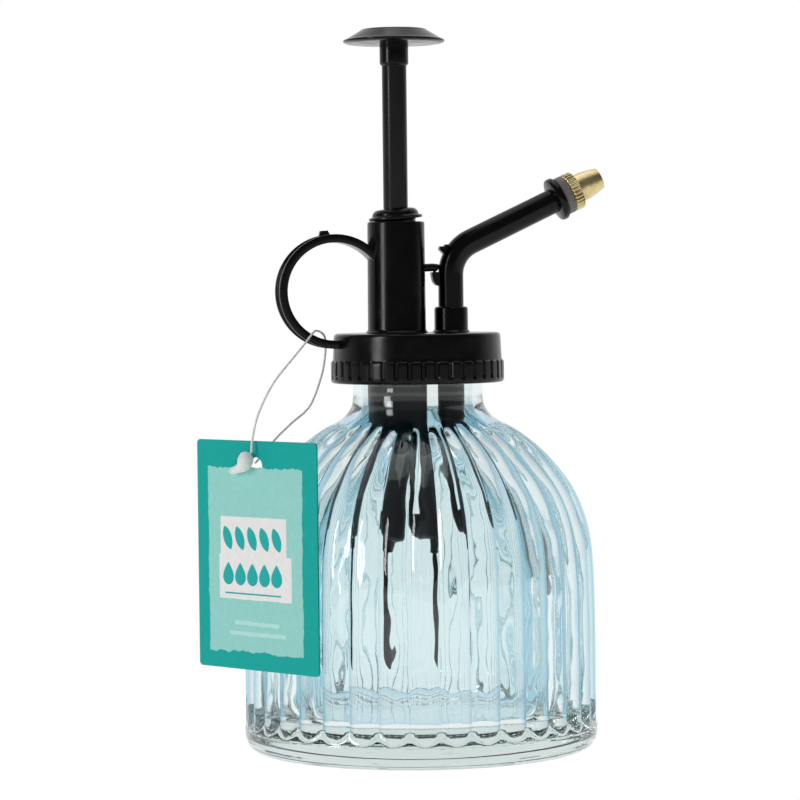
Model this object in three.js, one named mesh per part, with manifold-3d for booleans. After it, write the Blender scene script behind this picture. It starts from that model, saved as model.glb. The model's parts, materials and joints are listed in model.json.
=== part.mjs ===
// A plant mister: a fluted glass bottle with a press pump screwed on its neck, a bent spout with a
// brass nozzle, and a card tag on a nylon loop. Millimetres, +Z up. The origin is the middle of the
// bottle's foot, the spout points along +X and the finger ring along -X.
import * as THREE from "three";
import { mergeVertices } from "three/addons/utils/BufferGeometryUtils.js";
import Module from "manifold-3d";

const wasm = await Module();
wasm.setup();

// Driving dimensions
const FLUTES = 36; // round lobes about the bottle
const FLUTE_DEPTH = 1.2; // from a lobe's crest to the groove beside it, at the widest place
const FIRST_GROOVE = 3.3; // degrees from +X
const BODY_RADIUS = 40.4;
const FLUTE_FOOT = 6.2; // the plain band ends here and the flutes start
const FLUTE_FULL = 8.6;
const FLUTE_FADE = 66; // the flutes fade in the shoulder from here up
const FLUTE_TOP = 74;
const NECK_RADIUS = 14.75;
const NECK_BORE = 12.5;
const MOUTH_TOP = 90.9;

const THREAD_PITCH = 4;
const THREAD_TURN = 396; // degrees that each thread runs
const THREAD_STEP = 11; // degrees between its sections
const GLASS_THREAD_FOOT = 85.2;
const CAP_THREAD_START = 126; // degrees, where the cap's thread is clear of the skirt's rim

const CAP_BOTTOM = 83.3;
const CAP_UNDER = 92.6; // under the cap's top plate
const CAP_TOP = 94.6;
const CAP_RADIUS = 19.7;
const CAP_BORE = 17;
const GRIPS = 40; // grooves about the cap
const GRIP_BOTTOM = 84.5;
const GRIP_TOP = 88.2;

const PUMP_X = -4.66; // the pump's axis
const TOWER_RADIUS = 6.55;
const TOWER_TOP = 119.9;
const BARREL_BORE = 5.2;
const GLAND_LEAN = -4.5; // degrees, the gland cap sits a little askew
const GLAND_GAP = 0.25; // and is not quite home

const RING_X = -19.3;
const RING_Z = 104.2;
const RING_OUTSIDE = 12.95;
const RING_INSIDE = 11.05;
const RING_WIDTH = 6.3;
const RING_CHANNEL = 0.45; // depth of the channel round its outside

const OUTLET_X = 8.04; // the spout's and the outlet valve's axis
const SOCKET_RADIUS = 3.83;
const SOCKET_TOP = 100.5;
const SPOUT_RADIUS = 2.88;
const SPOUT_BORE = 1.2;
const SPOUT_RISE = 25.1; // degrees above level
const SPOUT_CORNER = 113; // height where the two straight axes would meet
const SPOUT_BEND = 5.21; // from that corner to where each straight part ends
const SPOUT_REACH = 27.9; // from that corner to the flange's middle

const ROD_RADIUS = 2.8;
const BUTTON_RADIUS = 11.55;
const BUTTON_TOP = 163.5;

const TAG_WIDTH = 38;
const TAG_HEIGHT = 51;
const TAG_THICK = 0.4;
const TAG_FOOT = 20.4;
const TAG_OUT = 40.8; // from the bottle's axis to the card
const TAG_SHIFT = -10.8; // its middle, along the card
const TAG_FACING = 213.7; // degrees from +X, the way its printed face looks
const TAG_HOLE_UP = 65.8;
const LOOP_RADIUS = 0.25;

// The nylon loop's route: from its lock up to the finger ring, over the ring's inside, down behind
// it and forwards through the card's hole to the lock again.
const LOOP_ROUTE = [
  [-41.3, -14.8, 68.8],
  [-40.8, -14.1, 72.1],
  [-39.2, -12.9, 77.4],
  [-35.3, -10.4, 84.0],
  [-30.0, -7.1, 89.6],
  [-27.2, -5.5, 92.5],
  [-25.5, -4.5, 94.4],
  [-24.2, -3.0, 95.4],
  [-22.6, 0.0, 95.2],
  [-21.2, 2.9, 94.5],
  [-20.5, 4.2, 93.3],
  [-20.4, 4.5, 91.0],
  [-21.8, 2.1, 85.5],
  [-25.5, -2.5, 78.6],
  [-30.9, -7.5, 74.8],
  [-34.9, -10.5, 71.7],
  [-38.2, -12.5, 68.5],
  [-39.7, -13.5, 67.0],
  [-40.3, -14.0, 66.5],
];

const GLASS = new THREE.MeshStandardMaterial({ color: 0xcfe3e8, roughness: 0.05, metalness: 0 });
const BLACK = new THREE.MeshStandardMaterial({ color: 0x111113, roughness: 0.25, metalness: 0 });
const GREY = new THREE.MeshStandardMaterial({ color: 0x6f7274, roughness: 0.7, metalness: 0 });
const CLEAR = new THREE.MeshStandardMaterial({ color: 0xd9dcda, roughness: 0.4, metalness: 0 });
const RUBBER = new THREE.MeshStandardMaterial({ color: 0x2b2b2d, roughness: 0.8, metalness: 0 });
const STEEL = new THREE.MeshStandardMaterial({ color: 0xb5b7ba, roughness: 0.3, metalness: 1 });
const BRASS = new THREE.MeshStandardMaterial({ color: 0xc9a35a, roughness: 0.3, metalness: 1 });
const CARD = new THREE.MeshStandardMaterial({ color: 0x14aba0, roughness: 0.6, metalness: 0 });

// A closed geometry as a manifold-3d solid with its faces pointing out.
function solid(geometry) {
  const bare = new THREE.BufferGeometry();
  bare.setAttribute("position", geometry.getAttribute("position"));
  bare.setIndex(geometry.getIndex());
  const welded = mergeVertices(bare, 1e-4);
  const corners = welded.index.array;
  const build = (order) => {
    const triangles = [];
    for (let i = 0; i < corners.length; i += 3) {
      const [a, b, c] = order.map((k) => corners[i + k]);
      if (a !== b && b !== c && c !== a) triangles.push(a, b, c);
    }
    const vertProperties = welded.getAttribute("position").array;
    const triVerts = new Uint32Array(triangles);
    return new wasm.Manifold(new wasm.Mesh({ numProp: 3, vertProperties, triVerts }));
  };
  const made = build([0, 1, 2]);
  return made.volume() > 0 ? made : build([0, 2, 1]);
}

// Moves every vertex of a geometry.
function reshape(geometry, move) {
  const places = geometry.getAttribute("position");
  const v = new THREE.Vector3();
  for (let i = 0; i < places.count; i += 1) {
    move(v.fromBufferAttribute(places, i));
    places.setXYZ(i, v.x, v.y, v.z);
  }
  return geometry;
}

// A profile of [radius, height] points turned about the Z axis.
function turned(profile, segments) {
  const points = profile.map(([radius, height]) => new THREE.Vector2(radius, height));
  return new THREE.LatheGeometry(points, segments).rotateX(Math.PI / 2);
}

// The same, from a profile that closes on itself and leaves a hole along the axis.
function turnedRing(profile, segments) {
  return turned([...profile, profile[0]], segments);
}

function rod(radius, bottom, top, segments = 32, x = 0) {
  const height = top - bottom;
  const geometry = new THREE.CylinderGeometry(radius, radius, height, segments);
  return solid(geometry.rotateX(Math.PI / 2).translate(x, 0, (bottom + top) / 2));
}

function block(width, depth, height, x, y, z) {
  return solid(new THREE.BoxGeometry(width, depth, height).translate(x, y, z));
}

function tube(path, radius, sides, steps) {
  const corners = [];
  for (let k = 0; k < sides; k += 1) {
    const angle = (2 * Math.PI * k) / sides;
    corners.push(new THREE.Vector2(radius * Math.cos(angle), radius * Math.sin(angle)));
  }
  const section = new THREE.Shape(corners);
  return solid(new THREE.ExtrudeGeometry(section, { extrudePath: path, steps, bevelEnabled: false }));
}

function helixSpring(x, bottom, top, coilRadius, wireRadius, turns) {
  const points = [];
  const perTurn = 8;
  const rise = (top - bottom - 2 * wireRadius) / (turns * perTurn);
  for (let k = 0; k <= turns * perTurn; k += 1) {
    const angle = (2 * Math.PI * k) / perTurn;
    const height = bottom + wireRadius + k * rise;
    const across = coilRadius * Math.cos(angle);
    points.push(new THREE.Vector3(x + across, coilRadius * Math.sin(angle), height));
  }
  return tube(new THREE.CatmullRomCurve3(points), wireRadius, 4, turns * perTurn);
}

// A screw thread's ridge: a trapezoid from root to crest radius, swept up a helix, with its crest
// sinking into the wall at both ends.
function thread(root, crest, foot, start) {
  const half = 1.1;
  const crestHalf = 0.5;
  const section = new THREE.Shape();
  section.moveTo(root, -half);
  section.lineTo(crest, -crestHalf);
  section.lineTo(crest, crestHalf);
  section.lineTo(root, half);
  const steps = THREAD_TURN / THREAD_STEP;
  const ridge = new THREE.ExtrudeGeometry(section, { depth: THREAD_TURN, steps, bevelEnabled: false });
  const taper = 2 * THREAD_STEP;
  const swept = reshape(ridge, (v) => {
    const share = Math.min(1, v.z / taper, (THREAD_TURN - v.z) / taper);
    const radius = root + (v.x - root) * Math.max(share, 0.12);
    const turn = start + v.z;
    const angle = THREE.MathUtils.degToRad(turn);
    v.set(radius * Math.cos(angle), radius * Math.sin(angle), foot + v.y + (THREAD_PITCH * turn) / 360);
  });
  return solid(swept);
}

// How deep the flutes are at a height, from 0 to 1.
function fluteShare(height) {
  const foot = THREE.MathUtils.smoothstep(height, FLUTE_FOOT, FLUTE_FULL);
  return foot * (1 - THREE.MathUtils.smoothstep(height, FLUTE_FADE, FLUTE_TOP));
}

function glassBottle() {
  const segments = 3 * FLUTES;
  const body = turned(
    [
      [0, 0], [36.2, 0], [39.3, 1.5], [BODY_RADIUS, 4.2], [BODY_RADIUS, FLUTE_FOOT],
      [BODY_RADIUS, FLUTE_FULL], [40.1, 33.5], [39.6, 43.8], [38, 52.6], [35.5, 58.3],
      [32, 63.4], [28, 67.9], [22.6, 72.3], [18.4, 74.2], [0, 74.2],
    ],
    segments,
  );
  const lobe = (2 * Math.PI) / FLUTES;
  reshape(body, (v) => {
    const radius = Math.hypot(v.x, v.y);
    if (radius < 1) return;
    const place = Math.atan2(v.y, v.x) / lobe;
    const off = 2 * Math.abs(place - Math.floor(place) - 0.5); // 0 on a crest, 1 in a groove
    const depth = FLUTE_DEPTH * fluteShare(v.z) * (radius / BODY_RADIUS) * off * off;
    v.multiply(new THREE.Vector3(1 - depth / radius, 1 - depth / radius, 1));
  });
  body.rotateZ(THREE.MathUtils.degToRad(FIRST_GROOVE));
  const neck = turned(
    [[0, 72], [18.6, 74.1], [16.1, 76.3], [NECK_RADIUS, 78.5], [NECK_RADIUS, 90.4], [14.3, MOUTH_TOP],
      [0, MOUTH_TOP]],
    36,
  );
  const hollow = turned(
    [[0, 8.5], [34.5, 8.5], [36.2, 10.5], [36.4, 33], [35.2, 46], [32.4, 55.4], [27.8, 62.2],
      [21.6, 68], [15.6, 72], [NECK_BORE, 77], [NECK_BORE, 95], [0, 95]],
    36,
  );
  const ridge = thread(14.4, 15.9, GLASS_THREAD_FOOT, 0);
  return solid(body).add(solid(neck)).add(ridge).subtract(solid(hollow));
}

function screwCap() {
  const shell = turned(
    [[0, CAP_TOP], [17.9, CAP_TOP], [18.7, 94.3], [19.05, 93.5], [19.6, GRIP_TOP], [CAP_RADIUS, CAP_BOTTOM],
      [CAP_BORE, CAP_BOTTOM], [CAP_BORE, CAP_UNDER], [0, CAP_UNDER]],
    48,
  );
  let cap = solid(shell);
  for (let k = 0; k < GRIPS; k += 1) {
    const height = GRIP_TOP - GRIP_BOTTOM;
    const groove = new THREE.BoxGeometry(1.2, 0.9, height);
    groove.translate(CAP_RADIUS + 0.1, 0, GRIP_BOTTOM + height / 2);
    cap = cap.subtract(solid(groove.rotateZ((2 * Math.PI * k) / GRIPS)));
  }
  return cap;
}

function fingerRing() {
  const half = RING_WIDTH / 2;
  const lip = 0.9;
  const floor = RING_OUTSIDE - RING_CHANNEL;
  const hoop = turnedRing(
    [[RING_INSIDE, -half], [RING_OUTSIDE, -half], [RING_OUTSIDE, lip - half], [floor, lip - half],
      [floor, half - lip], [RING_OUTSIDE, half - lip], [RING_OUTSIDE, half], [RING_INSIDE, half]],
    36,
  );
  const openSide = block(8, 8, 13.4, -12, 0, CAP_TOP + 6.7);
  return solid(hoop.rotateX(Math.PI / 2).translate(RING_X, 0, RING_Z)).subtract(openSide);
}

function spoutSocket() {
  const profile = [[0, 94], [SOCKET_RADIUS, 94], [SOCKET_RADIUS, 99.7], [3.6, SOCKET_TOP], [0, SOCKET_TOP]];
  return solid(turned(profile, 28).translate(OUTLET_X, 0, 0));
}

function pumpHead() {
  const latchStrut = block(8.65, 2.2, 1.8, 0.525, 0, 109.4);
  const insideCap = rod(CAP_BORE, CAP_BOTTOM - 1, CAP_UNDER, 48);
  return screwCap()
    .add(rod(TOWER_RADIUS, 93, TOWER_TOP, 32, PUMP_X))
    .add(fingerRing().subtract(insideCap))
    .add(latchStrut)
    .add(spoutSocket())
    .subtract(rod(BARREL_BORE, CAP_UNDER - 1, TOWER_TOP + 1, 32, PUMP_X))
    .subtract(rod(3.3, 96.3, SOCKET_TOP + 1, 24, OUTLET_X))
    .subtract(rod(1.4, CAP_UNDER - 1, 97, 16, OUTLET_X))
    .add(thread(CAP_BORE + 0.2, 15.25, GLASS_THREAD_FOOT - THREAD_PITCH / 2, CAP_THREAD_START));
}

function mouthGasket() {
  return solid(turnedRing([[11.8, 91.2], [15.1, 91.2], [15.1, 92.3], [11.8, 92.3]], 32));
}

function pumpCylinder() {
  const wall = turnedRing(
    [[6.7, 92.3], [BARREL_BORE, 92.3], [BARREL_BORE, 72.8], [4.3, 71.9], [4.3, 49.5], [2.25, 49.5],
      [2.25, 45.4], [3.7, 45.4], [3.9, 48], [6, 48.3], [6.6, 48.8], [6.7, 72.4]],
    32,
  );
  const sidePort = (radius, from, to) => {
    const geometry = new THREE.CylinderGeometry(radius, radius, to - from, 16).rotateZ(Math.PI / 2);
    return solid(geometry.translate((from + to) / 2, 0, 51.6));
  };
  return solid(wall.translate(PUMP_X, 0, 0)).add(sidePort(2.8, 1.4, 4.3)).subtract(sidePort(0.9, -1, 5));
}

function footValveBody() {
  const profile = [[1.3, 49.8], [4, 49.8], [4, 56.6], [2.3, 56.6], [2.3, 53.2], [1.3, 52]];
  return solid(turnedRing(profile, 18).translate(PUMP_X, 0, 0));
}

function ballCage() {
  const ring = turnedRing([[2.5, 56.9], [4, 56.9], [4, 58.3], [2.5, 58.3]], 24).translate(PUMP_X, 0, 0);
  return solid(ring).add(block(5.6, 1, 1, PUMP_X, 0, 57.6));
}

function dipTube() {
  const foot = 19.5;
  const tubing = turnedRing([[1.3, foot], [1.95, foot], [1.95, 49.2], [1.3, 49.2]], 20);
  reshape(tubing, (v) => {
    if (v.z < foot + 0.1) v.z += 0.7 * v.x; // cut at a slant so that it can't seal on the floor
  });
  return solid(tubing.translate(PUMP_X, 0, 0));
}

function transferTube() {
  const points = [[8.04, 71.7], [8.04, 63], [8.04, 55.2], [7.5, 53.2], [6.4, 52], [5.2, 51.63], [4.6, 51.6]];
  const path = new THREE.CatmullRomCurve3(points.map(([x, z]) => new THREE.Vector3(x, 0, z)));
  return tube(path, 2.6, 14, 16);
}

function outletStub() {
  const profile = [[0.9, 72], [3.14, 72], [3.14, 92.3], [2.1, 92.3], [2.1, 75.6], [0.9, 74.2]];
  return solid(turnedRing(profile, 18).translate(OUTLET_X, 0, 0));
}

function ball(radius, x, z) {
  return solid(new THREE.SphereGeometry(radius, 12, 8).translate(x, 0, z));
}

function glandCap() {
  const cap = turned(
    [[0, 115], [4.5, 115], [4.5, 120.2], [6.1, 120.2], [6.1, 120.85], [5.35, 121], [5.1, 121.8], [4.5, 122.4],
      [3.6, 122.7], [0, 122.7]],
    24,
  );
  cap.translate(0, 0, -TOWER_TOP).rotateY(THREE.MathUtils.degToRad(GLAND_LEAN));
  cap.translate(PUMP_X, 0, TOWER_TOP + GLAND_GAP);
  return solid(cap).subtract(rod(ROD_RADIUS + 0.3, 110, 126, 24, PUMP_X));
}

function rodSeal() {
  const profile = [[3.1, 112.6], [4.9, 112.6], [4.9, 113.8], [3.1, 113.8]];
  return solid(turnedRing(profile, 18).translate(PUMP_X, 0, 0));
}

function pistonRod() {
  const profile = [[0, 105.2], [1.5, 105.2], [1.5, 112], [ROD_RADIUS, 112], [ROD_RADIUS, 155.5],
    [3.27, 155.9], [3.27, 160], [0, 160]];
  return solid(turned(profile, 18).translate(PUMP_X, 0, 0));
}

function pistonHead() {
  const profile = [[1.8, 105.4], [3.2, 105.4], [3.2, 108.6], [4.85, 108.9], [4.85, 111.6], [1.8, 111.6]];
  return solid(turnedRing(profile, 18).translate(PUMP_X, 0, 0));
}

function pistonCup() {
  const profile = [[3.5, 108.3], [3.5, 106.6], [4.2, 106.6], [4.7, 105.6], [5, 105.6], [4.9, 108.5]];
  return solid(turnedRing(profile, 18).translate(PUMP_X, 0, 0));
}

function thumbButton() {
  const profile = [[0, 160.3], [10.9, 160.35], [11.4, 160.55], [BUTTON_RADIUS, 160.85], [11.4, 161.1],
    [7.6, 163.3], [7.2, BUTTON_TOP], [0, BUTTON_TOP]];
  return solid(turned(profile, 36).translate(PUMP_X, 0, 0));
}

const spoutRise = THREE.MathUtils.degToRad(SPOUT_RISE);
const spoutDirection = new THREE.Vector3(Math.cos(spoutRise), 0, Math.sin(spoutRise));
const spoutCorner = new THREE.Vector3(OUTLET_X, 0, SPOUT_CORNER);
const spoutEnd = spoutCorner.clone().addScaledVector(spoutDirection, SPOUT_REACH);

// Turns a geometry made about Z from the flange's middle into the spout's direction.
function alongSpout(geometry) {
  return geometry.rotateY(Math.PI / 2 - spoutRise).translate(spoutEnd.x, 0, spoutEnd.z);
}

function spoutPath(bottom, beyond) {
  const bendStart = new THREE.Vector3(OUTLET_X, 0, SPOUT_CORNER - SPOUT_BEND);
  const bendEnd = spoutCorner.clone().addScaledVector(spoutDirection, SPOUT_BEND);
  const path = new THREE.CurvePath();
  path.add(new THREE.LineCurve3(new THREE.Vector3(OUTLET_X, 0, bottom), bendStart));
  path.add(new THREE.QuadraticBezierCurve3(bendStart, spoutCorner, bendEnd));
  path.add(new THREE.LineCurve3(bendEnd, spoutEnd.clone().addScaledVector(spoutDirection, beyond)));
  return path;
}

function spout() {
  const flangeEnd = turned([[0, -0.85], [4.6, -0.85], [5.05, -0.4], [5.05, 0.4], [4.6, 0.85], [2.2, 0.85],
    [2.2, 6.2], [0, 6.2]], 32);
  const lugOutline = [[3.3, 108.1], [5.9, 108.1], [5.9, 104.9], [5, 104.9]];
  const lugShape = new THREE.Shape(lugOutline.map(([x, z]) => new THREE.Vector2(x, z)));
  const lug = new THREE.ExtrudeGeometry(lugShape, { depth: 1.6, bevelEnabled: false });
  lug.rotateX(Math.PI / 2).translate(0, 0.8, 0);
  return tube(spoutPath(98, 0), SPOUT_RADIUS, 14, 16)
    .add(rod(1.9, 96.6, 99, 16, OUTLET_X))
    .add(solid(alongSpout(flangeEnd)))
    .add(solid(lug))
    .subtract(tube(spoutPath(95, 8), SPOUT_BORE, 6, 12));
}

function spoutORing() {
  const section = [];
  for (let k = 0; k < 6; k += 1) {
    const angle = (Math.PI * k) / 3;
    section.push([2.65 + 0.42 * Math.cos(angle), 97.3 + 0.42 * Math.sin(angle)]);
  }
  return solid(turnedRing(section, 20).translate(OUTLET_X, 0, 0));
}

function nozzleWasher() {
  return solid(alongSpout(turnedRing([[2.6, 1.15], [4.45, 1.15], [4.45, 2.95], [2.6, 2.95]], 32)));
}

function brassNozzle() {
  const ridges = 24;
  const nozzle = turnedRing(
    [[2.5, 3.2], [4.5, 3.2], [4.5, 5.3], [3.25, 5.3], [3.2, 7.6], [2.4, 11.3], [0.35, 11.3], [0.35, 8.8],
      [2.5, 8.8]],
    2 * ridges,
  );
  reshape(nozzle, (v) => {
    const radius = Math.hypot(v.x, v.y);
    const turn = (Math.atan2(v.y, v.x) / (2 * Math.PI)) * 2 * ridges;
    const inGroove = Math.abs(Math.round(turn)) % 2 === 1;
    if (radius > 4.2 && inGroove) v.multiply(new THREE.Vector3(0.95, 0.95, 1));
  });
  return solid(alongSpout(nozzle));
}

function swirlInsert() {
  return solid(alongSpout(turnedRing([[0.5, 6.6], [2.2, 6.6], [2.2, 8], [1.6, 8.5], [0.5, 8.5]], 20)));
}

// Directions of the card: along its width, and out of its printed face.
const facing = THREE.MathUtils.degToRad(TAG_FACING);
const tagOut = new THREE.Vector3(Math.cos(facing), Math.sin(facing), 0);
const tagAlong = new THREE.Vector3(-Math.sin(facing), Math.cos(facing), 0);

// Puts a geometry made with X along the card, Y up and Z out of its face where the card hangs.
function onTag(geometry) {
  const place = new THREE.Matrix4().makeBasis(tagAlong, new THREE.Vector3(0, 0, 1), tagOut);
  const middle = tagOut.clone().multiplyScalar(TAG_OUT).addScaledVector(tagAlong, TAG_SHIFT);
  return geometry.applyMatrix4(place.setPosition(middle));
}

function hangTag() {
  const corner = 0.9;
  const left = -TAG_WIDTH / 2;
  const top = TAG_FOOT + TAG_HEIGHT;
  const outline = new THREE.Shape();
  outline.moveTo(left + corner, TAG_FOOT);
  outline.lineTo(-left - corner, TAG_FOOT);
  outline.quadraticCurveTo(-left, TAG_FOOT, -left, TAG_FOOT + corner);
  outline.lineTo(-left, top - corner);
  outline.quadraticCurveTo(-left, top, -left - corner, top);
  outline.lineTo(left + corner, top);
  outline.quadraticCurveTo(left, top, left, top - corner);
  outline.lineTo(left, TAG_FOOT + corner);
  outline.quadraticCurveTo(left, TAG_FOOT, left + corner, TAG_FOOT);
  outline.holes.push(new THREE.Path().absarc(0, TAG_HOLE_UP, 2, 0, 2 * Math.PI, true));
  const card = new THREE.ExtrudeGeometry(outline, { depth: TAG_THICK, curveSegments: 5, bevelEnabled: false });
  return solid(onTag(card.translate(0, 0, -TAG_THICK / 2)));
}

function tagLoop() {
  const path = new THREE.CatmullRomCurve3(LOOP_ROUTE.map((place) => new THREE.Vector3(...place)));
  return tube(path, LOOP_RADIUS, 8, 56);
}

function loopLock() {
  const bulb = new THREE.SphereGeometry(1, 16, 10).scale(1.75, 2.2, 1.25).translate(-0.5, 66.4, 1.95);
  const tail = new THREE.CylinderGeometry(0.75, 0.4, 5, 10).rotateZ(THREE.MathUtils.degToRad(-50));
  return solid(onTag(bulb)).add(solid(onTag(tail.translate(-2.9, 64, 1.6))));
}

// Every piece as [name, solid, material].
const pieces = [
  ["glass_bottle", glassBottle(), GLASS],
  ["mouth_gasket", mouthGasket(), RUBBER],
  ["pump_head", pumpHead(), BLACK],
  ["pump_cylinder", pumpCylinder(), BLACK],
  ["foot_valve_body", footValveBody(), BLACK],
  ["inlet_ball", ball(1.8, PUMP_X, 53.38), STEEL],
  ["ball_cage", ballCage(), GREY],
  ["dip_tube", dipTube(), BLACK],
  ["transfer_tube", transferTube(), BLACK],
  ["outlet_stub", outletStub(), BLACK],
  ["outlet_ball", ball(1.4, OUTLET_X, 75.5), STEEL],
  ["outlet_spring", helixSpring(OUTLET_X, 77.1, 92, 1.4, 0.2, 7), STEEL],
  ["gland_cap", glandCap(), BLACK],
  ["rod_seal", rodSeal(), RUBBER],
  ["piston_rod", pistonRod(), BLACK],
  ["piston_head", pistonHead(), BLACK],
  ["piston_cup", pistonCup(), RUBBER],
  ["return_spring", helixSpring(PUMP_X, 58.6, 104.9, 3.4, 0.45, 12), STEEL],
  ["thumb_button", thumbButton(), BLACK],
  ["spout", spout(), BLACK],
  ["spout_o_ring", spoutORing(), RUBBER],
  ["nozzle_washer", nozzleWasher(), GREY],
  ["swirl_insert", swirlInsert(), GREY],
  ["brass_nozzle", brassNozzle(), BRASS],
  ["hang_tag", hangTag(), CARD],
  ["tag_loop", tagLoop(), CLEAR],
  ["loop_lock", loopLock(), CLEAR],
];

const mister = new THREE.Group();
for (const [name, shape, material] of pieces) {
  const { vertProperties, triVerts } = shape.getMesh();
  const geometry = new THREE.BufferGeometry();
  geometry.setAttribute("position", new THREE.BufferAttribute(vertProperties, 3));
  geometry.setIndex(new THREE.BufferAttribute(triVerts, 1));
  geometry.computeVertexNormals();
  const mesh = new THREE.Mesh(geometry, material);
  mesh.name = name;
  mister.add(mesh);
}

export default mister;
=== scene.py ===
"""The looks of a glass plant mister: a fluted bottle, a black press pump with a finger ring and a
bent spout, a brass nozzle, and a card tag on a nylon loop. Outlines are in millimetres and heights
are above the surface that the bottle stands on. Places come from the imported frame."""

import json
import math
import random

import bmesh
import bpy
from mathutils import Matrix, Vector, noise

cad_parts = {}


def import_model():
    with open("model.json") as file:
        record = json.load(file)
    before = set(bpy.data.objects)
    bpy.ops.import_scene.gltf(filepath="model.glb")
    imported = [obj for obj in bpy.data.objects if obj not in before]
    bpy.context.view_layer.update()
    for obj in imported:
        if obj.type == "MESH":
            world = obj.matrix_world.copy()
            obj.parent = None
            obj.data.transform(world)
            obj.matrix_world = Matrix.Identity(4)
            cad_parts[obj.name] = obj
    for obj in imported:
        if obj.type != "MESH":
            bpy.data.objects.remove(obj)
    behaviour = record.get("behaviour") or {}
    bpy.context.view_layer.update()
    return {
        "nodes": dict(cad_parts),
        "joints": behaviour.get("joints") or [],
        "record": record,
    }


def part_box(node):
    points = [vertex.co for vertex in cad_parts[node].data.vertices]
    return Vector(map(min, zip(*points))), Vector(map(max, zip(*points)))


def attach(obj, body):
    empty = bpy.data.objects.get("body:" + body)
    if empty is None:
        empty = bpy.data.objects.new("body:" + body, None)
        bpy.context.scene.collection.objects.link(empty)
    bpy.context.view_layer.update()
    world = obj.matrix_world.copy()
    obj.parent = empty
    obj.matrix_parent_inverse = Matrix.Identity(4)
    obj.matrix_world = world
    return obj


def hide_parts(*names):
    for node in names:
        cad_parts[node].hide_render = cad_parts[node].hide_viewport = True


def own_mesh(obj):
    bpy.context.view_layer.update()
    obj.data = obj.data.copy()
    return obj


MM = 0.001
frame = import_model()
joints = {j["name"]: j for j in frame["joints"]}


def middle(node):
    low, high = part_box(node)
    return (low + high) / (2 * MM)


# Places and sizes from the frame, in millimetres
PUMP_X = middle("piston_rod").x
OUTLET_X = middle("outlet_stub").x
RING = Vector(joints["tag_swing"]["pos_m"]) / MM
FLANGE = Vector(joints["nozzle_turn"]["pos_m"]) / MM
SPOUT_WAY = Vector(joints["nozzle_turn"]["axis"]).normalized()
SPOUT_RISE = math.atan2(SPOUT_WAY.z, SPOUT_WAY.x)
CYLINDER_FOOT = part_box("pump_cylinder")[0].z / MM
BUTTON_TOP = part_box("thumb_button")[1].z / MM

# The camera
VIEW_AZIMUTH = math.radians(-12.7)
VIEW_DISTANCE = 720
EYE_HEIGHT = 104.4
EYE_LEFT = 4.05  # how far left of the bottle's axis the camera stands
LENS = 142.2
LOOK_DOWN = math.radians(1.995)
ROLL = math.radians(0.65)
TO_EYE = Vector((math.sin(VIEW_AZIMUTH), -math.cos(VIEW_AZIMUTH), 0))
TO_RIGHT = Vector((math.cos(VIEW_AZIMUTH), math.sin(VIEW_AZIMUTH), 0))

# The nylon loop's route, as in the CAD model
LOOP_ROUTE = [
    (-41.3, -14.8, 68.8),
    (-40.8, -14.1, 72.1),
    (-39.2, -12.9, 77.4),
    (-35.3, -10.4, 84.0),
    (-30.0, -7.1, 89.6),
    (-27.2, -5.5, 92.5),
    (-25.5, -4.5, 94.4),
    (-24.2, -3.0, 95.4),
    (-22.6, 0.0, 95.2),
    (-21.2, 2.9, 94.5),
    (-20.5, 4.2, 93.3),
    (-20.4, 4.5, 91.0),
    (-21.8, 2.1, 85.5),
    (-25.5, -2.5, 78.6),
    (-30.9, -7.5, 74.8),
    (-34.9, -10.5, 71.7),
    (-38.2, -12.5, 68.5),
    (-39.7, -13.5, 67.0),
    (-40.3, -14.0, 66.5),
]
LOOP_THICK = 0.5

# The card
TAG_FACING = math.radians(213.7)
TAG_OUT = Vector((math.cos(TAG_FACING), math.sin(TAG_FACING), 0))
TAG_ALONG = Vector((-math.sin(TAG_FACING), math.cos(TAG_FACING), 0))
TAG_WIDTH = 38
TAG_THICK = 0.4
TAG_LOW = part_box("hang_tag")[0].z / MM
TAG_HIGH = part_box("hang_tag")[1].z / MM
TAG_HOLE_UP = 65.8
TAG_HOLE_RADIUS = 2


def camera():
    data = bpy.data.cameras.new("camera")
    data.lens = LENS
    data.clip_start = 0.01
    eye = bpy.data.objects.new("camera", data)
    bpy.context.scene.collection.objects.link(eye)
    turn = Matrix((TO_RIGHT, Vector((0, 0, 1)), TO_EYE)).transposed().to_4x4()
    tilt = Matrix.Rotation(-LOOK_DOWN, 4, "X") @ Matrix.Rotation(-ROLL, 4, "Z")
    place = TO_EYE * VIEW_DISTANCE - TO_RIGHT * EYE_LEFT + Vector((0, 0, EYE_HEIGHT))
    eye.matrix_world = Matrix.Translation(place * MM) @ turn @ tilt
    bpy.context.scene.camera = eye


# ---- Materials ----------------------------------------------------------------------------------

TINT = (0.84, 0.93, 0.94)
# painted shade: the deeper blue that is painted into the glass colour at glancing angles
GLANCING_SHADE_BLUE = (0.12, 0.42, 0.6)


def material(name, colour, roughness, **sockets):
    made = bpy.data.materials.new(name)
    made.use_nodes = True
    shader = made.node_tree.nodes["Principled BSDF"]
    shader.inputs["Base Color"].default_value = (*colour, 1)
    shader.inputs["Roughness"].default_value = roughness
    for socket, value in sockets.items():
        shader.inputs[socket.replace("_", " ")].default_value = value
    return made


def add_node(made, kind, **values):
    node = made.node_tree.nodes.new(kind)
    for key, value in values.items():
        if key in node.inputs:
            node.inputs[key].default_value = value
        else:
            setattr(node, key, value)
    return node


def link(made, source, output, target, socket):
    made.node_tree.links.new(source.outputs[output], target.inputs[socket])


def shader_of(made):
    return made.node_tree.nodes["Principled BSDF"]


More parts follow.
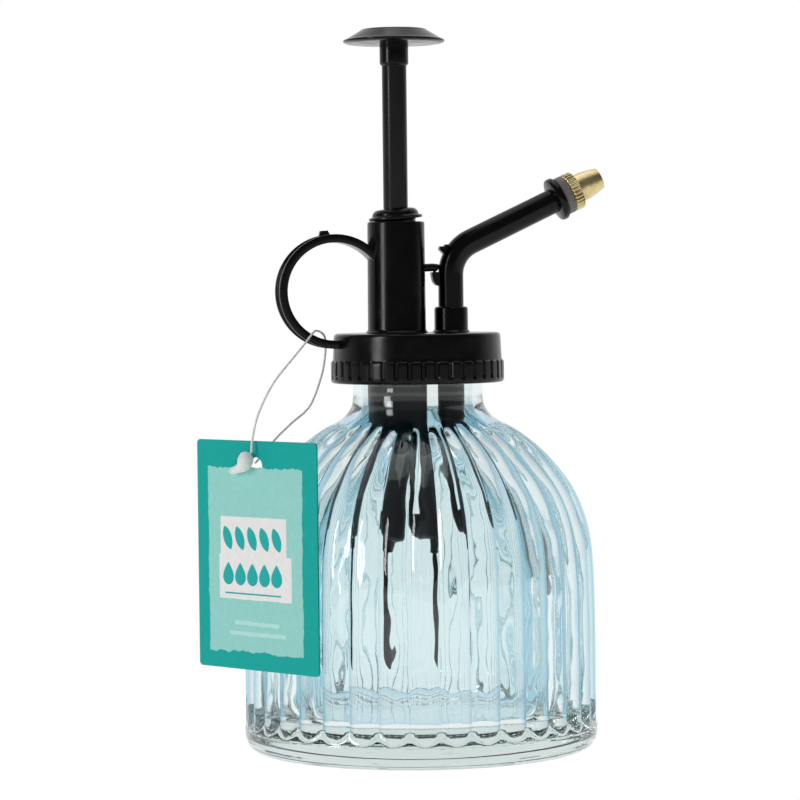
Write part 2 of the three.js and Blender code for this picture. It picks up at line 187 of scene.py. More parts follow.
def grain(made, scale, stretch=(1, 1, 1), detail=4.0):
    """A noise over the object's own coordinates, scale in waves per metre."""
    place = add_node(made, "ShaderNodeTexCoord")
    mapping = add_node(made, "ShaderNodeMapping")
    mapping.inputs["Scale"].default_value = stretch
    pattern = add_node(made, "ShaderNodeTexNoise", Scale=scale, Detail=detail)
    link(made, place, "Object", mapping, "Vector")
    link(made, mapping, "Vector", pattern, "Vector")
    return pattern


def bumped(made, pattern, strength, depth):
    bump = add_node(made, "ShaderNodeBump", Strength=strength, Distance=depth)
    link(made, pattern, "Fac", bump, "Height")
    link(made, bump, "Normal", shader_of(made), "Normal")


def varied_roughness(made, pattern, low, high):
    spread = add_node(made, "ShaderNodeMapRange")
    spread.inputs["From Min"].default_value = 0.3
    spread.inputs["From Max"].default_value = 0.7
    spread.inputs["To Min"].default_value = low
    spread.inputs["To Max"].default_value = high
    link(made, pattern, "Fac", spread, "Value")
    link(made, spread, "Result", shader_of(made), "Roughness")


def varied_colour(made, pattern, dark, light):
    ramp = add_node(made, "ShaderNodeValToRGB")
    ramp.color_ramp.elements[0].position = 0.35
    ramp.color_ramp.elements[0].color = (*dark, 1)
    ramp.color_ramp.elements[1].position = 0.65
    ramp.color_ramp.elements[1].color = (*light, 1)
    link(made, pattern, "Fac", ramp, "Fac")
    link(made, ramp, "Color", shader_of(made), "Base Color")


def black_plastic():
    made = material("black_plastic", (0.0022, 0.0022, 0.0024), 0.3, Specular_IOR_Level=0.2)
    smudges = grain(made, 260)
    varied_roughness(made, smudges, 0.15, 0.27)
    bumped(made, grain(made, 700, detail=3.0), 0.05, 0.00006)
    return made


def inner_black():
    made = material("inner_black", (0.003, 0.003, 0.004), 0.42, Specular_IOR_Level=0.2)
    varied_roughness(made, grain(made, 300), 0.36, 0.5)
    return made


def bottle_glass():
    """Clear glass, tinted pale blue from above the foot to below the neck. A deeper blue is
    painted in at glancing angles: painted shade, as for the longer way of light through the tinted
    layer."""
    made = material("bottle_glass", TINT, 0.0, IOR=1.5, Transmission_Weight=1.0)
    bumped(made, grain(made, 130, (1, 1, 0.35), 2.0), 0.12, 0.0004)
    place = add_node(made, "ShaderNodeTexCoord")
    split = add_node(made, "ShaderNodeSeparateXYZ")
    share_of_height = add_node(made, "ShaderNodeMapRange")
    share_of_height.inputs["From Max"].default_value = 0.1
    height = add_node(made, "ShaderNodeValToRGB")
    height.color_ramp.interpolation = "EASE"
    stops = height.color_ramp.elements
    stops[0].position, stops[1].position = 0.06, 0.105
    for place_up, amount in ((0.72, 1.0), (0.82, 0.25)):
        stops.new(place_up).color = (amount, amount, amount, 1)
    ramp = add_node(made, "ShaderNodeValToRGB")
    ramp.color_ramp.elements[0].color = (0.94, 0.965, 0.95, 1)
    ramp.color_ramp.elements[1].color = (*TINT, 1)
    link(made, place, "Object", split, "Vector")
    link(made, split, "Z", share_of_height, "Value")
    link(made, share_of_height, "Result", height, "Fac")
    link(made, height, "Color", ramp, "Fac")
    # painted shade: the glass colour turns deeper blue at glancing angles
    grazing = add_node(made, "ShaderNodeLayerWeight", Blend=0.5)
    share = add_node(made, "ShaderNodeMapRange", interpolation_type="SMOOTHSTEP")
    share.inputs["From Min"].default_value = 0.18
    share.inputs["From Max"].default_value = 0.72
    link(made, grazing, "Facing", share, "Value")
    link(made, height, "Color", share, "To Max")
    painted_glancing_shade = add_node(made, "ShaderNodeMix", data_type="RGBA")
    painted_glancing_shade.inputs[7].default_value = (*GLANCING_SHADE_BLUE, 1)  # the second colour
    link(made, share, "Result", painted_glancing_shade, "Factor")
    link(made, ramp, "Color", painted_glancing_shade, 6)  # the first colour
    link(made, painted_glancing_shade, 2, shader_of(made), "Base Color")
    depth = add_node(made, "ShaderNodeVolumeAbsorption", Density=7.0)
    depth.inputs["Color"].default_value = (0.3, 0.49, 0.47, 1)
    link(made, depth, "Volume", made.node_tree.nodes["Material Output"], "Volume")
    return made


def rubber():
    made = material("black_rubber", (0.02, 0.02, 0.021), 0.7)
    bumped(made, grain(made, 1500), 0.2, 0.0001)
    return made


def grey_washer():
    made = material("grey_plastic", (0.05, 0.047, 0.045), 0.55)
    varied_colour(made, grain(made, 700), (0.11, 0.098, 0.09), (0.17, 0.152, 0.14))
    return made


def brass():
    made = material("nozzle_brass", (0.68, 0.56, 0.29), 0.35, Metallic=1.0)
    varied_colour(made, grain(made, 260), (0.58, 0.47, 0.22), (0.76, 0.64, 0.35))
    varied_roughness(made, grain(made, 900, (1, 1, 4)), 0.28, 0.42)
    return made


def steel():
    made = material("spring_steel", (0.6, 0.6, 0.61), 0.28, Metallic=1.0)
    varied_roughness(made, grain(made, 1200), 0.2, 0.36)
    return made


def nylon():
    made = material("clear_nylon", (0.93, 0.94, 0.935), 0.3, IOR=1.35, Transmission_Weight=0.25)
    varied_colour(made, grain(made, 500, detail=1.0), (0.9, 0.915, 0.91), (0.95, 0.96, 0.955))
    return made


def milky_nylon():
    made = material("milky_nylon", (0.93, 0.95, 0.94), 0.3, IOR=1.4, Transmission_Weight=0.3)
    varied_colour(made, grain(made, 1100), (0.86, 0.88, 0.87), (0.97, 0.98, 0.975))
    varied_roughness(made, grain(made, 900), 0.25, 0.5)
    return made


def paper(name, colour, spread=0.06):
    made = material(name, colour, 0.45, Specular_IOR_Level=0.12)
    dark = tuple(c * (1 - spread) for c in colour)
    light = tuple(min(1, c * (1 + spread)) for c in colour)
    varied_colour(made, grain(made, 900, detail=8.0), dark, light)
    bumped(made, grain(made, 2500), 0.12, 0.00004)
    return made


# ---- Mesh helpers -------------------------------------------------------------------------------


def rounded(corners, radius, closed=False, steps=4):
    """An outline of (radius, height) points with its corners rounded."""
    points = [Vector(c) for c in corners]
    count = len(points)
    made = []
    for i, corner in enumerate(points):
        if not closed and i in (0, count - 1):
            made.append(corner)
            continue
        before = points[i - 1] - corner
        after = points[(i + 1) % count] - corner
        reach = min(radius, 0.45 * before.length, 0.45 * after.length)
        start = corner + before.normalized() * reach
        end = corner + after.normalized() * reach
        for k in range(steps + 1):
            t = k / steps
            made.append(start * (1 - t) ** 2 + corner * 2 * t * (1 - t) + end * t**2)
    return [(p.x, p.y) for p in made]


def smooth_line(points, per=6):
    """A Catmull-Rom line through points of any dimension."""
    places = [Vector(p) for p in points]
    padded = [2 * places[0] - places[1], *places, 2 * places[-1] - places[-2]]
    made = []
    for a, b, c, d in zip(padded, padded[1:], padded[2:], padded[3:]):
        for k in range(per):
            t = k / per
            even = 2 * b + (c - a) * t
            bend = (2 * a - 5 * b + 4 * c - d) * t**2 + (3 * b - a - 3 * c + d) * t**3
            made.append((even + bend) / 2)
    made.append(places[-1])
    return made


def mesh_from(name, places, faces, place=None):
    """A mesh from points in millimetres."""
    mesh = bpy.data.meshes.new(name)
    mesh.from_pydata([p * MM for p in places], [], faces)
    if place is not None:
        mesh.transform(place)
    shell = bmesh.new()
    shell.from_mesh(mesh)
    bmesh.ops.recalc_face_normals(shell, faces=shell.faces)
    shell.to_mesh(mesh)
    shell.free()
    return mesh


def lathe(name, outline, segments=96, closed=False, place=None, shape=None):
    """Turns an outline of (radius, height) about Z. An open outline starts and ends on the axis.
    shape(point) may move each point first."""
    places = []
    rows = []
    for radius, height in outline:
        if radius < 1e-6:
            rows.append([len(places)] * segments)
            places.append(Vector((0, 0, height)))
            continue
        rows.append(list(range(len(places), len(places) + segments)))
        for k in range(segments):
            angle = 2 * math.pi * k / segments
            places.append(Vector((radius * math.cos(angle), radius * math.sin(angle), height)))
    if shape:
        places = [shape(p) for p in places]
    if closed:
        rows.append(rows[0])
    faces = []
    for low, high in zip(rows, rows[1:]):
        for k in range(segments):
            n = (k + 1) % segments
            ring = [low[k], low[n], high[n], high[k]]
            faces.append(list(dict.fromkeys(ring)))
    return mesh_from(name, places, faces, place)


def sweep(name, path, radii, sides=40, place=None):
    """A round body along a path, with its own radius at each point and closed ends."""
    places = []
    rings = []
    side = None
    for i, point in enumerate(path):
        ahead = path[min(i + 1, len(path) - 1)]
        behind = path[max(i - 1, 0)]
        way = (ahead - behind).normalized()
        if side is None:
            side = way.orthogonal().normalized()
        side = (side - way * side.dot(way)).normalized()
        across = way.cross(side)
        rings.append(list(range(len(places), len(places) + sides)))
        for k in range(sides):
            angle = 2 * math.pi * k / sides
            offset = side * math.cos(angle) + across * math.sin(angle)
            places.append(point + offset * radii[i])
    faces = [list(reversed(rings[0])), list(rings[-1])]
    for low, high in zip(rings, rings[1:]):
        for k in range(sides):
            n = (k + 1) % sides
            faces.append([low[k], low[n], high[n], high[k]])
    return mesh_from(name, places, faces, place)


def prism(name, outline, low, high, place=None):
    """An outline of (x, y) drawn out from low to high along Z."""
    count = len(outline)
    places = [Vector((x, y, z)) for z in (low, high) for x, y in outline]
    faces = [list(range(count - 1, -1, -1)), list(range(count, 2 * count))]
    for k in range(count):
        n = (k + 1) % count
        faces.append([k, n, n + count, k + count])
    return mesh_from(name, places, faces, place)


def combine(mesh, *others, how="UNION"):
    """Joins or cuts solids with Blender's exact boolean."""
    holder = bpy.data.objects.new("holder", mesh)
    bpy.context.scene.collection.objects.link(holder)
    tools = []
    for other in others:
        tool = bpy.data.objects.new("tool", other)
        bpy.context.scene.collection.objects.link(tool)
        modifier = holder.modifiers.new("step", "BOOLEAN")
        modifier.operation = how
        modifier.solver = "EXACT"
        modifier.object = tool
        tools.append(tool)
    bpy.context.view_layer.update()
    ready = holder.evaluated_get(bpy.context.evaluated_depsgraph_get())
    made = bpy.data.meshes.new_from_object(ready)
    for helper in [holder, *tools]:
        bpy.data.objects.remove(helper)
    made.name = mesh.name
    return made


def show(mesh, look, body, slot, *nodes, angle=35, name=None):
    """Makes a mesh a piece: its look, the body that it rides on and the nodes that it replaces."""
    piece = bpy.data.objects.new(name or mesh.name, mesh)
    bpy.context.scene.collection.objects.link(piece)
    mesh.materials.clear()
    mesh.materials.append(look)
    mesh.polygons.foreach_set("use_smooth", [True] * len(mesh.polygons))
    mesh.set_sharp_from_angle(angle=math.radians(angle))
    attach(piece, body)
    if nodes:
        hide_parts(*nodes)
    return piece


def shortens(node):
    """Gives a spring its own copy of its mesh."""
    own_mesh(frame["nodes"][node])


def standing(x):
    return Matrix.Translation((x * MM, 0, 0))


def along_spout():
    """From the Z axis to the spout's direction, with the flange's middle at the origin."""
    return Matrix.Translation(FLANGE * MM) @ Matrix.Rotation(math.pi / 2 - SPOUT_RISE, 4, "Y")


# ---- The bottle ---------------------------------------------------------------------------------

FLUTES = 36
FIRST_GROOVE = math.radians(3.3)
PER_FLUTE = 12
GROOVE_DEPTH = 1.25
THREAD_FOOT = 85.2
THREAD_PITCH = 4
THREAD_TURNS = 1.1
THREAD_RISE = 1.1
SHOULDER = [
    (40.05, 28),
    (39.9, 36),
    (39.65, 42),
    (39.2, 47),
    (37.95, 52.6),
    (35.55, 58.3),
    (32.1, 63.4),
    (28, 67.9),
    (24, 71.2),
    (20.9, 73.2),
    (18.2, 74.6),
    (16.2, 76.4),
    (15.1, 78.2),
    (14.75, 80.2),
]
HOLLOW = [
    (12.5, 82),
    (12.6, 78.5),
    (13.4, 75.4),
    (15.8, 72.4),
    (19.6, 69.6),
    (24.0, 66.2),
    (28.0, 62.0),
    (31.3, 57.4),
    (33.7, 52.4),
    (35.2, 46.6),
    (36.0, 40),
    (36.3, 30),
    (36.4, 16),
    (36.1, 11.6),
    (34.8, 9.3),
    (32.0, 8.5),
]


def smoothstep(low, high, value):
    t = min(1, max(0, (value - low) / (high - low)))
    return t * t * (3 - 2 * t)


def outer_rows():
    """The outside's crest line from the foot's middle to the mouth, with outward normals."""
    foot = smooth_line(
        [
            (0.01, 1.3), (22, 1.2), (30, 0.9), (34, 0.25), (36, 0.0), (38.2, 0.35), (39.55, 1.6),
            (40.1, 3.2), (40.25, 5.2),
        ], 7
    )
    flare = [Vector((40.05, 5.4 + 0.25 * k)) for k in range(18)]
    wall = [Vector((40.05, 10 + 2 * k)) for k in range(9)]
    shoulder = smooth_line(SHOULDER, 7)
    neck = [Vector((14.75, 80.7 + 0.3 * k)) for k in range(33)]
    rows = [*foot, *flare, *wall, *shoulder, *neck]
    made = []
    for i, row in enumerate(rows):
        way = rows[min(i + 1, len(rows) - 1)] - rows[max(i - 1, 0)]
        normal = Vector((way.y, -way.x)).normalized()
        made.append((row, normal))
    return made


def thread_height(angle, height):
    """How far the screw thread stands out of the neck."""
    best = 0
    for turn in (0, 1):
        run = (angle / (2 * math.pi) + turn) / THREAD_TURNS
        if 0 <= run <= 1:
            middle_height = THREAD_FOOT + THREAD_PITCH * run * THREAD_TURNS
            off = abs(height - middle_height)
            fade = min(1, run / 0.06, (1 - run) / 0.06)
            best = max(best, THREAD_RISE * fade * (1 - smoothstep(0.35, 1.05, off)))
    return best


def outer_point(row, normal, angle):
    place = (angle - FIRST_GROOVE) / (2 * math.pi / FLUTES)
    off = 2 * abs(place - math.floor(place) - 0.5)
    narrow = (min(row.x, 40) / 40) ** 0.7
    depth = GROOVE_DEPTH * narrow * (0.93 * off**2 + 0.07 * off**6) * smoothstep(17.5, 22.5, row.x)
    radius, height = row.x, row.y
    if height > 5.3 and height < 80:
        radius -= normal.x * depth
        height -= normal.y * depth
        flare = 40.25 - 0.46 * (height - 5.2)
        if height < 12 and radius < flare:
            radius = flare
    if height > 83:
        radius += thread_height(angle % (2 * math.pi), height)
    return Vector((radius * math.cos(angle), radius * math.sin(angle), height))


def inner_point(row, angle):
    """The blown inside: nearly smooth, with slow waves and a faint print of the flutes."""
    way = Vector((math.cos(angle) * 2.2, math.sin(angle) * 2.2, row.y * 0.035))
    wave = noise.noise(
        way * 2.2,
    ) * 0.32 + noise.noise(way * 6) * 0.12 + noise.noise(way * 19) * 0.022
    print_through = 0.16 * math.cos(FLUTES * (angle - FIRST_GROOVE))
    fade = smoothstep(14, 20, row.x) * smoothstep(8.6, 11, row.y)
    radius = row.x + fade * (wave - print_through)
    return Vector((radius * math.cos(angle), radius * math.sin(angle), row.y))


def bottle_mesh():
    segments = FLUTES * PER_FLUTE
    angles = [FIRST_GROOVE + 2 * math.pi * k / segments for k in range(segments)]
    outside = outer_rows()
    lip = rounded([(14.75, 90.3), (14.7, 90.9), (12.5, 90.9), (12.5, 90.2)], 0.5)
    lip = [Vector(p) for p in lip]
    inside = [*lip, *[Vector((12.5, 89 - k)) for k in range(7)], *smooth_line(HOLLOW, 10)]
    inside += [Vector((25, 8.3)), Vector((15, 8.2)), Vector((6, 8.15))]
    places = []
    rows = []
    for row, normal in outside[1:]:
        rows.append(range(len(places), len(places) + segments))
        places += [outer_point(row, normal, a) for a in angles]
    for row in inside:
        rows.append(range(len(places), len(places) + segments))
        places += [inner_point(row, a) for a in angles]
    faces = []
    for low, high in zip(rows, rows[1:]):
        for k in range(segments):
            n = (k + 1) % segments
            faces.append([low[k], low[n], high[n], high[k]])
    for row, height in ((rows[0], outside[0][0].y), (rows[-1], 8.1)):
        tip = len(places)
        places.append(Vector((0, 0, height)))
        faces += [[row[k], row[(k + 1) % segments], tip] for k in range(segments)]
    return mesh_from("bottle", places, faces)


# ---- The pump -----------------------------------------------------------------------------------

CAP_BOTTOM = 83.3
CAP_TOP = 94.6
GRIPS = 40
GRIP_DEPTH = 0.42
GLAND_LEAN = math.radians(-4.5)
GLAND_SEAT = 119.9
GLAND_GAP = 0.25
SIDE_PIPE_RADIUS = 2.6
KNURL_RIDGES = 30
KNURL_DEPTH = 0.32


def cap_mesh():
    outline = rounded(
        [
            (0, CAP_TOP), (18.95, CAP_TOP), (19.25, 88.5), (19.7, 88.1), (19.72, CAP_BOTTOM),
            (17, CAP_BOTTOM), (17, 92.6), (0, 92.6),
        ],
        0.9,
    )

    def grip(p):
        radius = math.hypot(p.x, p.y)
        if radius < 18.3 or not 84.2 < p.z < 88.6:
            return p
        turn = math.atan2(p.y, p.x) * GRIPS / (2 * math.pi)
        off = abs(turn - round(turn)) * 2
        depth = GRIP_DEPTH * (1 - smoothstep(0.2, 0.42, off))
        depth *= smoothstep(84.2, 84.6, p.z) * (1 - smoothstep(87.9, 88.6, p.z))
        share = 1 - depth / radius
        return Vector((p.x * share, p.y * share, p.z))

    return lathe("pump_head_shell", dense(outline, 0.5, 84, 89), GRIPS * 10, shape=grip)


def dense(outline, step, low, high):
    """Adds points to an outline's long edges between two heights."""
    made = []
    for (r0, z0), (r1, z1) in zip(outline, outline[1:]):
        made.append((r0, z0))
        inside = min(z0, z1) < high and max(z0, z1) > low
        pieces = int(abs(z1 - z0) / step) if inside and r0 > 18 and r1 > 18 else 0
        for k in range(1, pieces):
            t = k / pieces
            made.append((r0 + (r1 - r0) * t, z0 + (z1 - z0) * t))
    made.append(outline[-1])
    return made


def ring_mesh():
    half = 3.15
    outside = 12.95
    channel = rounded(
        [
            (11.05, -half), (outside, -half), (outside, -2.2), (12.45, -2.0), (12.45, 2.0),
            (outside, 2.2), (outside, half), (11.05, half),
        ],
        0.35,
        closed=True,
    )
    place = Matrix.Translation(RING * MM) @ Matrix.Rotation(math.pi / 2, 4, "X")
    return lathe("finger_ring", channel, 160, closed=True, place=place)


def pump_head_mesh():
    tower = rounded(
        [(0, 92.7), (7.4, 92.7), (7.2, 94.7), (6.62, 95.3), (6.5, 119.9), (0, 119.9)],
        0.5,
    )
    socket = rounded(
        [(0, 93), (4.5, 93), (4.4, 94.7), (3.85, 95.2), (3.83, 100.5), (0, 100.5)],
        0.7,
    )
    strut = sweep(
        "strut",
        smooth_line(
            [(0, 0, 109.4), (2.6, 0, 109.4), (3.9, 0, 109.45), (4.6, 0, 109.2), (4.95, 0, 108.9)],
            4,
        ),
        [0.9] * 10 + [0.98, 1.06, 1.1, 1.1, 1.05, 0.95, 0.6],
        24,
    )
    gate = prism(
        "gate",
        [(-1.3, 0), (1.3, 0), (0.9, 1.05), (-0.8, 1.2)],
        -0.6,
        0.6,
        gate_place(99, 12.8),
    )
    bore = lathe("bore", [(0, 90), (5.2, 90), (5.2, 121), (0, 121)], 96, place=standing(PUMP_X))
    hollow = lathe("hollow", [(0, 80), (17, 80), (17, 92.6), (0, 92.6)], 120)
    seat = lathe(
        "seat",
        [(0, 96.3), (3.3, 96.3), (3.3, 101), (0, 101)],
        64,
        place=standing(OUTLET_X),
    )
    open_side = prism("open_side", [(-16, -4), (-8, -4), (-8, 4), (-16, 4)], CAP_TOP, 108)
    ring = combine(ring_mesh(), hollow, open_side, how="DIFFERENCE")
    whole = combine(
        cap_mesh(),
        lathe("tower", tower, 128, place=standing(PUMP_X)),
        lathe("socket", socket, 80, place=standing(OUTLET_X)),
        ring,
        strut,
        gate,
    )
    whole = combine(whole, bore, seat, how="DIFFERENCE")
    whole.name = "head_moulding"
    return whole


def gate_place(degrees, reach):
    """Stands a small moulding mark on the finger ring's outside."""
    angle = math.radians(degrees)
    spot = RING + Vector((math.cos(angle), 0, math.sin(angle))) * reach
    upright = Matrix.Translation(spot * MM) @ Matrix.Rotation(math.pi / 2, 4, "X")
    return upright @ Matrix.Rotation(angle - math.pi / 2, 4, "Z")


def gland_mesh():
    outline = rounded(
        [
            (3.4, 115), (4.5, 115), (4.5, 120.1), (6.1, 120.2), (6.1, 120.85), (5.35, 121),
            (5.15, 121.8), (4.5, 122.45), (3.12, 122.7),
        ],
        0.3,
        closed=True,
    )
    tilt = Matrix.Rotation(GLAND_LEAN, 4, "Y")
    pivot = Matrix.Translation((PUMP_X * MM, 0, (GLAND_SEAT + GLAND_GAP) * MM))
    place = pivot @ tilt @ Matrix.Translation((0, 0, -GLAND_SEAT * MM))
    return lathe("gland_dome", outline, 96, closed=True, place=place)


def rod_mesh():
    outline = rounded(
        [
            (0, 105.2), (1.5, 105.2), (1.5, 112), (2.8, 112), (2.8, 155.25), (3.27, 155.55),
            (3.27, 160.3), (0, 160.3),
        ],
        0.3,
    )
    return lathe("rod", outline, 72, place=standing(PUMP_X))


def button_mesh():
    outline = rounded(
        [
            (0, 159.9), (3.6, 160.0), (10.7, 160.25), (11.5, 160.6), (11.52, 161.0),
            (10.6, 161.4), (7.7, 163.15), (7.2, BUTTON_TOP), (0, BUTTON_TOP),
        ],
        0.35,
    )
    return lathe("button", outline, 128, place=standing(PUMP_X))


def spout_mesh():
    corner = Vector((OUTLET_X, 0, FLANGE.z - (FLANGE.x - OUTLET_X) * math.tan(SPOUT_RISE)))
    bend = 8.3
    turn = math.pi / 2 - SPOUT_RISE
    setback = bend * math.tan(turn / 2)
    centre = corner + Vector((bend, 0, -setback))
    path = [Vector((OUTLET_X, 0, z)) for z in (96.6, 97.9, 98.0, 99, 101, 103, 105, 106.5)]
    for k in range(25):
        angle = math.pi - turn * k / 24
        path.append(centre + Vector((math.cos(angle), 0, math.sin(angle))) * bend)
    radii = [1.9, 1.9] + [2.88] * (len(path) - 2)
    flange = [
        (-18, 2.88), (-12, 2.86), (-6, 2.84), (-2.2, 2.84), (-1.0, 2.9), (-0.86, 4.5),
        (-0.7, 4.9), (-0.4, 5.05),
    ]
    flange += [
        (0.4, 5.05), (0.7, 4.9), (0.86, 4.5), (0.9, 2.3), (1.0, 2.2), (6.0, 2.2), (6.2, 2.0),
    ]
    for along, radius in flange:
        path.append(FLANGE + SPOUT_WAY * along)
        radii.append(radius)
    tube = sweep("tube", path, radii, 64)
    edge = Matrix.Rotation(math.pi / 2, 4, "X")
    lug = rounded(
        [(3.35, 108.4), (6.6, 108.4), (6.6, 105.2), (4.5, 105.25), (3.75, 106.2)],
        0.45,
        closed=True,
    )
    nub = rounded(
        [(-1.3, -0.9), (1.4, -0.9), (1.1, 0.5), (0.2, 0.8), (0.0, 1.5), (-0.8, 1.2)],
        0.2,
        closed=True,
    )
    angle = math.pi - turn * 0.48
    spot = centre + Vector((math.cos(angle), 0, math.sin(angle))) * (bend + 2.9)
    on_bend = Matrix.Translation(spot * MM) @ edge @ Matrix.Rotation(angle - math.pi / 2, 4, "Z")
    whole = combine(
        tube,
        prism("lug", lug, -0.9, 0.9, edge),
        prism("nub", nub, -0.9, 0.9, on_bend),
    )
    whole.name = "bent_spout"
    return whole


def washer_mesh():
    outline = rounded([(2.6, 1.0), (4.45, 1.0), (4.45, 2.95), (2.6, 2.95)], 0.25, closed=True)
    return lathe("washer", outline, 96, closed=True, place=along_spout())


def nozzle_mesh():
    outline = rounded(
        [
            (2.5, 3.0), (4.2, 3.0), (4.5, 3.35), (4.5, 4.95), (4.2, 5.3), (3.3, 5.35),
            (3.25, 7.4), (2.95, 9.2), (2.45, 11.3), (0.4, 11.3), (0.35, 8.8), (2.5, 8.8),
        ],
        0.22,
        closed=True,
    )

    def knurl(p):
        radius = math.hypot(p.x, p.y)
        wave = 0.5 + 0.5 * math.cos(KNURL_RIDGES * math.atan2(p.y, p.x))
        depth = KNURL_DEPTH * (1 - wave**0.6) * smoothstep(4.05, 4.3, radius)
        return Vector((p.x * (1 - depth / radius), p.y * (1 - depth / radius), p.z))

    return lathe(
        "nozzle_cap",
        outline,
        KNURL_RIDGES * 10,
        closed=True,
        place=along_spout(),
        shape=knurl,
    )


def cylinder_mesh():
    outline = rounded(
        [
            (6.7, 92.3), (5.2, 92.3), (5.2, 72.8), (4.3, 71.9), (4.3, 49.5), (2.25, 49.5),
            (2.25, CYLINDER_FOOT), (3.6, CYLINDER_FOOT), (3.8, 48.1), (5.9, 48.4), (6.55, 48.9),
            (6.62, 71.8), (6.7, 72.4),
        ],
        0.4,
        closed=True,
    )
    port = sweep("port", [Vector((x, 0, 51.6)) for x in (1.4, 3, 4.25)], [2.8, 2.8, 2.75], 40)
    body = lathe("barrel", outline, 96, closed=True, place=standing(PUMP_X))
    return combine(body, port)


def stub_mesh():
    outline = rounded(
        [(0.9, 72), (2.9, 72), (3.14, 73), (3.14, 92.3), (2.1, 92.3), (2.1, 75.6), (0.9, 74.2)],
        0.3,
        closed=True,
    )
    return lathe("valve_stub", outline, 72, closed=True, place=standing(OUTLET_X))


def transfer_mesh():
    points = [
        (8.04, 0, 71.9), (8.04, 0, 63), (8.04, 0, 55.2), (7.5, 0, 53.2), (6.4, 0, 52),
        (5.2, 0, 51.63), (4.5, 0, 51.6),
    ]
    path = smooth_line(points, 8)
    return sweep("side_pipe", path, [SIDE_PIPE_RADIUS] * len(path), 48)


def dip_mesh():
    outline = rounded([(1.3, 19.5), (1.95, 19.5), (1.95, 49.2), (1.3, 49.2)], 0.12, closed=True)

    def slant(p):
        return Vector((p.x, p.y, p.z + 0.7 * p.x)) if p.z < 19.8 else p

    return lathe("draw_tube", outline, 48, closed=True, place=standing(PUMP_X), shape=slant)


# ---- The tag ------------------------------------------------------------------------------------


def tag_place():
    """From (along, up, out) on the card's face to the frame."""
    low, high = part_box("hang_tag")
    centre = (low + high) / 2
    turn = Matrix((TAG_ALONG, Vector((0, 0, 1)), TAG_OUT)).transposed().to_4x4()
    return Matrix.Translation((centre.x, centre.y, 0)) @ turn


def tag_card_mesh():
    width = TAG_WIDTH / 2
    corner = 0.95
    outline = []
    corners = (
        (width, TAG_HIGH, 0),
        (-width, TAG_HIGH, 90),
        (-width, TAG_LOW, 180),
        (width, TAG_LOW, 270),
    )
    for cx, cy, first in corners:
        for k in range(7):
            angle = math.radians(first + 15 * k)
            x = cx - math.copysign(corner, cx) + corner * math.cos(angle)
            y = cy + (corner if cy == TAG_LOW else -corner) + corner * math.sin(angle)
            outline.append((x, y))
    card = prism("card", outline, -TAG_THICK / 2, TAG_THICK / 2, tag_place())
    hole = []
    for k in range(48):
        angle = math.pi * k / 24
        hole.append(
            (TAG_HOLE_RADIUS * math.cos(angle), TAG_HOLE_UP + TAG_HOLE_RADIUS * math.sin(angle)),
        )
    made = combine(card, prism("hole", hole, -1, 1, tag_place()), how="DIFFERENCE")
    made.name = "tag_board"
    return made


def ragged(left, bottom, right, top, rough, seed):
    """A rectangle with brushed edges, as a closed outline."""
    chance = random.Random(seed)
    corners = [(left, bottom), (right, bottom), (right, top), (left, top)]
    made = []
    for (x0, y0), (x1, y1) in zip(corners, corners[1:] + corners[:1]):
        steps = int(max(abs(x1 - x0), abs(y1 - y0)) / 0.45)
        drift = 0
        for k in range(steps):
            t = k / steps
            drift = 0.75 * drift + chance.uniform(-rough, rough)
            x = x0 + (x1 - x0) * t
            y = y0 + (y1 - y0) * t
            level = y0 == y1
            made.append((x + (0 if level else 0.45 * drift), y + (drift if level else 0)))
    return made


def leaf(x, y, size, lean):
    made = []
    for k in range(24):
        angle = 2 * math.pi * k / 24
        along = math.sin(angle)
        wide = 0.24 * math.cos(angle) * math.sqrt(1 - 0.8 * abs(along) ** 3)
        made.append((wide, along * 0.5))
    turn = math.radians(lean)
    cos, sin = math.cos(turn), math.sin(turn)
    return [(x + size * (a * cos - b * sin), y + size * (a * sin + b * cos)) for a, b in made]


def drop(x, y, size):
    made = []
    for k in range(24):
        angle = 2 * math.pi * k / 24
        pull = 0.5 + 0.5 * math.sin(angle)
        made.append(
            (
                x + size * 0.4 * math.cos(angle) * (1 - 0.75 * pull**2),
                y + size * 0.5 * math.sin(angle),
            ),
        )
    return made


def printed(name, outline, lift, look):
    face = TAG_THICK / 2
    mesh = prism(name, outline, face - 0.02, face + lift, tag_place())
    return show(mesh, look, "tag", "tag_card")


def tag_prints():
    aqua = paper("tag_aqua", (0.29, 0.63, 0.575), 0.03)
    cream = paper("tag_cream", (0.79, 0.785, 0.78), 0.03)
    ink = paper("tag_ink", (0.015, 0.4, 0.38), 0.03)
    pale = paper("tag_pale", (0.44, 0.73, 0.68), 0.03)
    made = [
        printed(
            "tag_panel",
            ragged(-15.5, TAG_LOW + 3.9, 14.4, TAG_HIGH - 6.1, 0.22, 4),
            0.02,
            aqua,
        ),
    ]
    made.append(printed("tag_label_low", ragged(-12.1, 36.0, 10.9, 45.9, 0.03, 5), 0.035, cream))
    made.append(printed("tag_label_high", ragged(-11.6, 45.2, 9.4, 54.4, 0.03, 6), 0.045, cream))
    made.append(
        printed(
            "tag_rule",
            [(-10.3, 37.1), (7.5, 37.1), (7.5, 37.45), (-10.3, 37.45)],
            0.055,
            ink,
        ),
    )
    for k in range(5):
        made.append(printed(f"tag_leaf_{k + 1}", leaf(-9.3 + 3.9 * k, 49.6, 5.6, 22), 0.06, ink))
    for k in range(5):
        made.append(printed(f"tag_drop_{k + 1}", drop(-9.2 + 3.85 * k, 41.6, 5.0), 0.06, ink))
    for k, (left, right, up) in enumerate(((-7.2, 6.9, 30.7), (-9.0, 8.8, 28.4))):
        outline = ragged(left, up - 0.45, right, up + 0.45, 0.05, 20 + k)
        made.append(printed(f"tag_bar_{k + 1}", outline, 0.035, pale))
    return made


